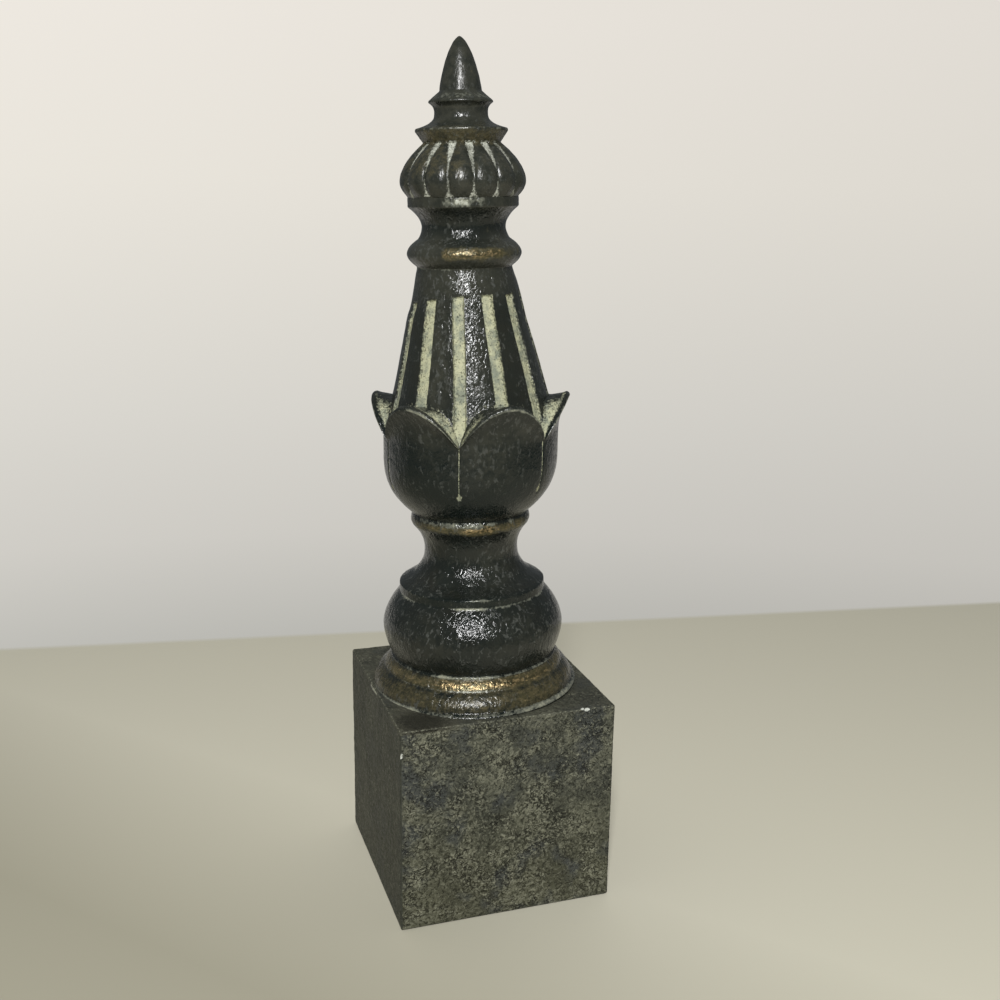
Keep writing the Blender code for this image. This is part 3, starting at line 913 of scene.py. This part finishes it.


# Marks of wear, some of them painted highlights on the rings' fronts. Angles are from the side that
# faces the camera, positive to the right, each arc with its first and last angle and its strength.
# Pale lines round the rings: wear round the foot, flare and collars; the strong front arcs of the
# bun lip, band, bead foot, collar top and fillet are painted highlights
wearAndHighlightRings = {
    "foot filler": (0.6, 1.1, [(-180, 180, 0.58), (-95, -30, 0.45), (22, 75, 0.25)]),
    "bead foot": (8.6, 0.4, [(-65, -14, 0.5), (-14, 12, 0.85), (12, 34, 0.45)]),
    "bun lip": (13.0, 0.75, [(-26, 14, 1.05), (14, 66, 0.66), (-90, -26, 0.4), (110, 170, 0.6)]),
    "band foot": (
        40.45, 0.75,
        [(-78, -48, 0.72), (-16, 10, 0.95), (10, 78, 0.58), (-48, -16, 0.3), (105, 240, 0.5)],
    ),
    "band top": (43.75, 0.45, [(-4, 16, 0.62), (-60, -4, 0.25), (16, 60, 0.25), (120, 200, 0.4)]),
    "collar top": (
        72.7, 1.6, [(-62, 48, 0.56), (-20, 12, 0.16), (110, 200, 0.55), (-140, -80, 0.45)]
    ),
    "torus seat": (170.9, 0.6, [(-75, -15, 0.55), (-15, 70, 0.35), (120, 220, 0.45)]),
    "fillet": (
        195.7, 2.0,
        [(-9, 8, 1.0), (-21, -11, 0.62), (10, 22, 0.55), (-70, 60, 0.12), (130, 200, 0.5)],
    ),
    "flare": (218.6, 4.4, [(-180, 180, 0.3)]),
    "collar rim": (221.9, 0.6, [(-180, 180, 0.5)]),
    "small collar": (233.6, 1.4, [(-180, 180, 0.4)]),
}
# Gilt on the rings; the strong arcs on the fronts of the bead, torus and collar are partly painted
# highlight where the light glints
giltAndGlintRings = {
    "ovolo": (4.6, 4.8, [(-180, 180, 0.37), (24, 60, 0.08), (100, 200, 0.15)]),
    "bead": (10.4, 2.5, [(-180, 180, 0.47), (-24, 30, 0.4), (30, 60, 0.22), (120, 210, 0.3)]),
    "collar": (
        70.8, 2.3,
        [(-180, 180, 0.38), (-6, 22, 0.55), (22, 60, 0.2), (-45, -6, 0.12), (110, 180, 0.4)],
    ),
    "bulb": (210.0, 7.0, [(-80, 0, 0.24), (0, 60, 0.1), (120, 200, 0.2)]),
    "flare": (219.0, 4.0, [(-180, 180, 0.42)]),
    "torus": (
        176.9, 2.3,
        [(-22, 30, 0.74), (30, 42, 0.6), (42, 75, 0.3), (150, 215, 0.6), (-120, -80, 0.3)],
    ),
}
# Places rubbed grey: azimuth and its reach, height and its reach, strength
scuffs = (
    (-36, 18, 2.5, 2.4, 0.8), (0, 24, 3.5, 2.4, 0.2),
    (-32, 24, 29, 12, 0.5), (32, 26, 30, 12, 0.6),
    (28, 34, 54, 13, 0.7), (-42, 30, 47, 6, 0.35),
    (10, 24, 103, 14, 0.8), (36, 14, 112, 8, 0.8),
    (8, 13, 135, 40, 0.6), (-26, 12, 135, 38, 0.9),
    (-4, 60, 166, 9, 0.75), (-45, 28, 177, 7, 0.9),
    (52, 26, 177, 7, 0.9), (20, 26, 235, 5, 0.9),
    (20, 26, 226, 6, 0.8), (28, 16, 207, 8, 0.5),
    (150, 60, 60, 50, 0.5), (200, 50, 140, 40, 0.5),
)
# Places painted paler as a soft sheen, a painted highlight, in the same terms
sheenPlaces = (
    (0, 200, 140, 30, 0.3), (0, 200, 168, 12, 0.62),
    (-55, 60, 177, 8, 0.7), (55, 50, 177, 8, 0.7),
)
# How coarse and rubbed the varnish is, by the height above the block
gritHeights = {
    0: 0.76, 7: 0.76, 9: 0.9, 13: 0.9, 14: 1.0, 39: 1.0, 42: 0.5, 46: 0.95, 68: 0.95, 74: 0.8,
    80: 0.54, 98: 0.66, 112: 0.68, 125: 0.9, 168: 1.0, 171: 0.8, 190: 0.9, 196: 0.9, 199: 0.6,
    214: 0.55, 219: 0.7, 230: 0.6, 236: 0.4, 256: 0.34,
}
bulbFoot = 196.0
bodyFoot = 112.0
# How much wash stayed on each half of each petal's top, round from the petals' first angle
slopeCoats = (0.8, 0.55, 0.95, 0.7, 0.75, 0.85, 0.85, 1.05, 0.66, 1.0, 1.0, 0.7)
# and how pale the rim of that half is
rimCoats = (0.7, 0.4, 0.9, 0.6, 0.85, 0.95, 0.35, 1.0, 0.7, 0.95, 0.95, 0.85)
# and how much stayed in each flute
fluteCoats = (1.0, 0.8, 1.0, 0.9, 1.0, 0.8, 0.8, 1.0, 1.0, 1.0, 0.86, 0.8)


def arcShare(azimuth, first, last, fade=7.0):
    middle, half = (first + last) / 2, (last - first) / 2
    away = np.abs(halfTurn(azimuth - middle))
    return unit((half + fade / 2 - away) / fade)


def ringMarks(rings, height, azimuth):
    total = np.zeros(len(height))
    for centre, reach, arcs in rings.values():
        strength = sum(value * arcShare(azimuth, first, last) for first, last, value in arcs)
        total = np.maximum(total, strength * bellAt(height, centre, 1.5 * reach))
    return total


def placeMarks(places, height, azimuth):
    total = np.zeros(len(height))
    for middle, reach, level, tall, strength in places:
        bell = bellAt(halfTurn(azimuth - middle), 0, 1.4 * reach)
        total = np.maximum(total, strength * bell * bellAt(height, level, 1.4 * tall))
    return total


def markFinish(obj):
    mesh = obj.data
    x, y, height = readPoints(mesh).T
    turn = np.degrees(np.arctan2(y, x))
    azimuth = turn - towardsCamera
    marks = {}
    for label in ("wash", "edge", "slope"):
        marks[label] = np.zeros(len(height), np.float32)
        mesh.attributes[label].data.foreach_get("value", marks[label])
    petalHalf = ((turn - petals.angle) % 360 // fluteTurn).astype(int)
    flute = np.round((turn - petals.angle) / fluteTurn).astype(int) % len(fluteCoats)
    onBody = (marks["slope"] < 0.5) & (height > bodyFoot) & (height < bulbFoot)
    marks["wash"] = marks["wash"] * (1 - marks["slope"] * (1 - np.array(slopeCoats)[petalHalf]))
    marks["wash"] = np.where(onBody, np.array(fluteCoats)[flute], 1.0) * marks["wash"]
    rim = marks["edge"] * np.array(rimCoats)[petalHalf]
    marks["edge"] = np.maximum(rim, ringMarks(wearAndHighlightRings, height, azimuth))
    marks["chalk"] = unit((height - bulbFoot + 4) / 2)
    marks["gilt"] = ringMarks(giltAndGlintRings, height, azimuth)
    marks["scuff"] = placeMarks(scuffs, height, azimuth)
    # Painted sheen: broad paler places on the body and on the torus's sides
    marks["dull"] = placeMarks(sheenPlaces, height, azimuth)
    marks["grit"] = readTable(height, gritHeights)
    marks["hand"] = unit(height / 0.6)
    writeMarks(mesh, marks)


finial = makeFinial()
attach(finial, "root")
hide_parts("turned_finial")
print("finial made:", len(finial.data.polygons), "faces")

block = Sizes(
    edgeRound=0.9, edgeSteps=3, gridStep=1.05, weld=0.01,
    # Place, width and height of each chip
    chips=(
        (-44.3, -44.3, 76.0, 0.9, 1.25),
        (32.2, -44.3, 85.5, 1.2, 0.85),
        (30.6, -44.3, 85.8, 1.3, 0.4),
    ),
    chipDepth=0.4,
    # Reach of the marks along the edges, and of the pale line on the top's edges
    edgeReach=1.5, wearReach=1.1, topReach=1.2,
    stain=(-34.0, -38.0, 17.0),
    # How calm each side's paint is; the left's darkness is also painted shade
    calmSides={"left": 0.85, "right": 0.3, "back": 0.15, "top": 0.35},
    hand={"Sway": (0.14, 20.0), "Lump": (0.12, 7.0), "Ripple": (0.13, 2.4)},
)
blockPaint = makeBlockPaint()
print("materials made")


def makeBlock():
    low, high = (np.array(corner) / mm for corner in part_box("plinth_block"))
    half = (high - low) / 2
    centre = (high + low) / 2
    rounding = block.edgeRound
    axes = []
    for size in half:
        inner = size - rounding
        count = int(2 * inner / block.gridStep)
        corner = inner + rounding * np.linspace(0, 1, block.edgeSteps + 1)[1:]
        axes.append(np.r_[-corner[::-1], np.linspace(-inner, inner, count + 1), corner])
    builder = bmesh.new()
    for across in range(3):
        first, second = (across + 1) % 3, (across + 2) % 3
        for side in (-1, 1):
            u, v = np.meshgrid(axes[first], axes[second], indexing="ij")
            place = np.zeros(u.shape + (3,))
            place[..., across], place[..., first], place[..., second] = side * half[across], u, v
            core = np.clip(place, rounding - half, half - rounding)
            out = place - core
            out *= rounding / np.linalg.norm(out, axis=-1, keepdims=True)
            place = (core + out + centre) * mm
            grid = [[builder.verts.new(point) for point in row] for row in place]
            for row, after in zip(grid, grid[1:]):
                for quad in zip(row, after, after[1:], row[1:]):
                    builder.faces.new(quad if side > 0 else quad[::-1])
    bmesh.ops.remove_doubles(builder, verts=builder.verts, dist=block.weld * mm)
    mesh = bpy.data.meshes.new("plinthBlock")
    settle(builder, mesh)
    obj = placeObject("plinthBlock", mesh)

    points = readPoints(mesh) - centre
    x, y, z = points.T
    gap = half - np.abs(points)
    nearest = np.sort(gap, axis=1)[:, 1]
    onTop = z > half[2] - block.topReach
    near = 0.5
    sides = [x < near - half[0], x > half[0] - near, y > half[1] - near, gap[:, 2] < near]
    stainX, stainY, stainReach = block.stain
    stain = 0.36 + unit(1 - np.hypot(x - stainX, y - stainY) / stainReach)
    marks = {
        "edge": unit(1 - nearest / block.edgeReach) * np.where(onTop, 0.3, 1.0),
        "wear": unit(1 - nearest / block.wearReach) * onTop,
        "calm": np.select(sides, list(block.calmSides.values()), 0.0),
        "stain": stain * onTop,
        "hand": unit(z + half[2]),
    }
    writeMarks(mesh, marks)

    # The chips are shallow dents
    dent = np.zeros(len(points))
    for x, y, z, width, tall in block.chips:
        away = np.linalg.norm((points + centre - (x, y, z)) / (width, width, tall), axis=1)
        dent = np.maximum(dent, bellAt(away, 0, 1.5))
    out = points - np.clip(points, rounding - half, half - rounding)
    out /= np.linalg.norm(out, axis=1, keepdims=True)
    points += centre - block.chipDepth * dent[:, None] * out
    mesh.vertices.foreach_set("co", (points * mm).ravel())
    roughen(obj, block.hand, (0.11, 0.42, 0.25), blockPaint)
    obj.data.shade_smooth()
    return obj


plinth = makeBlock()
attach(plinth, "root")
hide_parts("plinth_block")
print("block made:", len(plinth.data.polygons), "faces")

# Camera at the photograph's place
lens = Sizes(focal=43.49, place=(-145.14, -454.91, 289.11), turn=-18.73, tilt=14.77, roll=0.91)
cameraData = bpy.data.cameras.new("camera")
cameraData.lens = lens.focal
camera = placeObject("camera", cameraData)
aim = Matrix.Translation(Vector(lens.place) * mm)
for axis, angle in (("Z", lens.turn), ("X", 90 - lens.tilt), ("Z", lens.roll)):
    aim @= Matrix.Rotation(radians(angle), 4, axis)
camera.matrix_world = aim
scene.camera = camera

# Floor and its far ground, soft surroundings, and one tall soft light above the camera.
# The far ground glows as a painted backdrop; it and the surroundings share one row of colours, by
# how far the camera looks down, darker downwards as painted shade at the wall's foot.
studio = Sizes(
    floorRadius=950.0, floorColor=(0.665, 0.64, 0.525), floorShade=(0.41, 0.39, 0.3),
    groundTurn=8.7, groundEdge=279.7,
    frontLight=(0.19, 0.195, 0.19), backLight=(0.6, 0.58, 0.53),
    frontGloss=(0.085, 0.095, 0.1), backGloss=(0.13, 0.14, 0.145),
    lightAngle=-110.0, lightRise=34.0, lightDistance=1100.0, lightWidth=130.0, lightHeight=340.0,
    lightAim=190.0, lightPower=12.2,
    # How far to the side the surroundings change, and their shades on the left and right
    sideReach=0.4, sideShades=(1.05, 0.92),
)
distantColors = {
    -0.36: (0.48, 0.474, 0.44),
    -0.28: (0.6, 0.582, 0.541),
    -0.18: (0.67, 0.65, 0.602),
    0.0: (0.784, 0.75, 0.684),
    0.12: (0.815, 0.775, 0.714),
}


def distanceColor(tree, direction):
    s = studio
    lowest, highest = min(distantColors), max(distantColors)
    rise = add(tree, "SeparateXYZ", {0: direction}, 2)
    graded = add(tree, "ValToRGB", {0: remap(tree, rise, lowest, highest)})
    stops = graded.node.color_ramp.elements
    for height in list(distantColors)[1:-1]:
        stops.new((height - lowest) / (highest - lowest))
    for stop, color in zip(stops, distantColors.values()):
        stop.color = (*color, 1.0)
    # Lighter on the left of the photograph
    turn = radians(lens.turn)
    aside = vectorCalc(tree, "DOT_PRODUCT", direction, (cos(turn), sin(turn), 0))
    shade = remap(tree, aside, -s.sideReach, s.sideReach, *s.sideShades)
    return vectorCalc(tree, "SCALE", graded, shade)


def makeFloor():
    s = studio
    bpy.ops.mesh.primitive_circle_add(vertices=96, radius=s.floorRadius * mm, fill_type="NGON")
    floor = bpy.context.active_object
    floor.name = "floor"
    material, tree, shader, place = newMaterial("palePaint", 0.6)
    # Evenly painted, with painted shade towards the front left
    nearer = vectorCalc(tree, "DOT_PRODUCT", place, (-0.75, -0.66, 0))
    floorShadeShare = remap(tree, nearer, -10 * mm, 120 * mm)
    feed(tree, shader, {"Base Color": blendColor(tree, floorShadeShare, s.floorColor, s.floorShade)})
    look = vectorCalc(tree, "SUBTRACT", place, tuple(v * mm for v in lens.place))
    look = vectorCalc(tree, "NORMALIZE", look)
    # Painted glow: beyond the edge line the floor emits the surroundings' colours
    glow = add(tree, "Emission", {0: distanceColor(tree, look)})
    turn = radians(s.groundTurn)
    depth = vectorCalc(tree, "DOT_PRODUCT", place, (sin(turn), cos(turn), 0))
    far = remap(tree, depth, (s.groundEdge - 2) * mm, (s.groundEdge + 4) * mm)
    mixed = add(tree, "MixShader", {0: far, 1: shader.outputs[0], 2: glow})
    feed(tree, tree.nodes["Material Output"], {"Surface": mixed})
    floor.data.materials.append(material)


def makeSurroundings():
    s = studio
    world = bpy.data.worlds.new("surroundings")
    world.use_nodes = True
    tree = world.node_tree
    direction = add(tree, "TexCoord", output="Generated")
    depth = add(tree, "SeparateXYZ", {0: direction}, 1)
    depth = remap(tree, depth, -0.4, 0.7)
    rays = add(tree, "LightPath").node.outputs
    lit = blendColor(tree, depth, s.frontLight, s.backLight)
    glossy = blendColor(tree, depth, s.frontGloss, s.backGloss)
    seen = distanceColor(tree, direction)
    color = coated(tree, lit, (rays["Is Glossy Ray"], glossy), (rays["Is Camera Ray"], seen))
    feed(tree, tree.nodes["Background"], {"Color": color})
    scene.world = world


def makeLight():
    s = studio
    lamp = bpy.data.lights.new("tallSoftLight", "AREA")
    lamp.shape = "RECTANGLE"
    lamp.size, lamp.size_y = s.lightWidth * mm, s.lightHeight * mm
    lamp.energy = s.lightPower
    light = placeObject("tallSoftLight", lamp)
    turn, rise = radians(s.lightAngle), radians(s.lightRise)
    back = Vector((cos(turn) * cos(rise), sin(turn) * cos(rise), sin(rise)))
    light.location = Vector((0, 0, s.lightAim * mm)) + back * s.lightDistance * mm
    light.rotation_mode = "QUATERNION"
    light.rotation_quaternion = back.to_track_quat("Z", "Y")


makeFloor()
makeSurroundings()
makeLight()
scene.view_settings.view_transform = "Standard"
print("studio made")
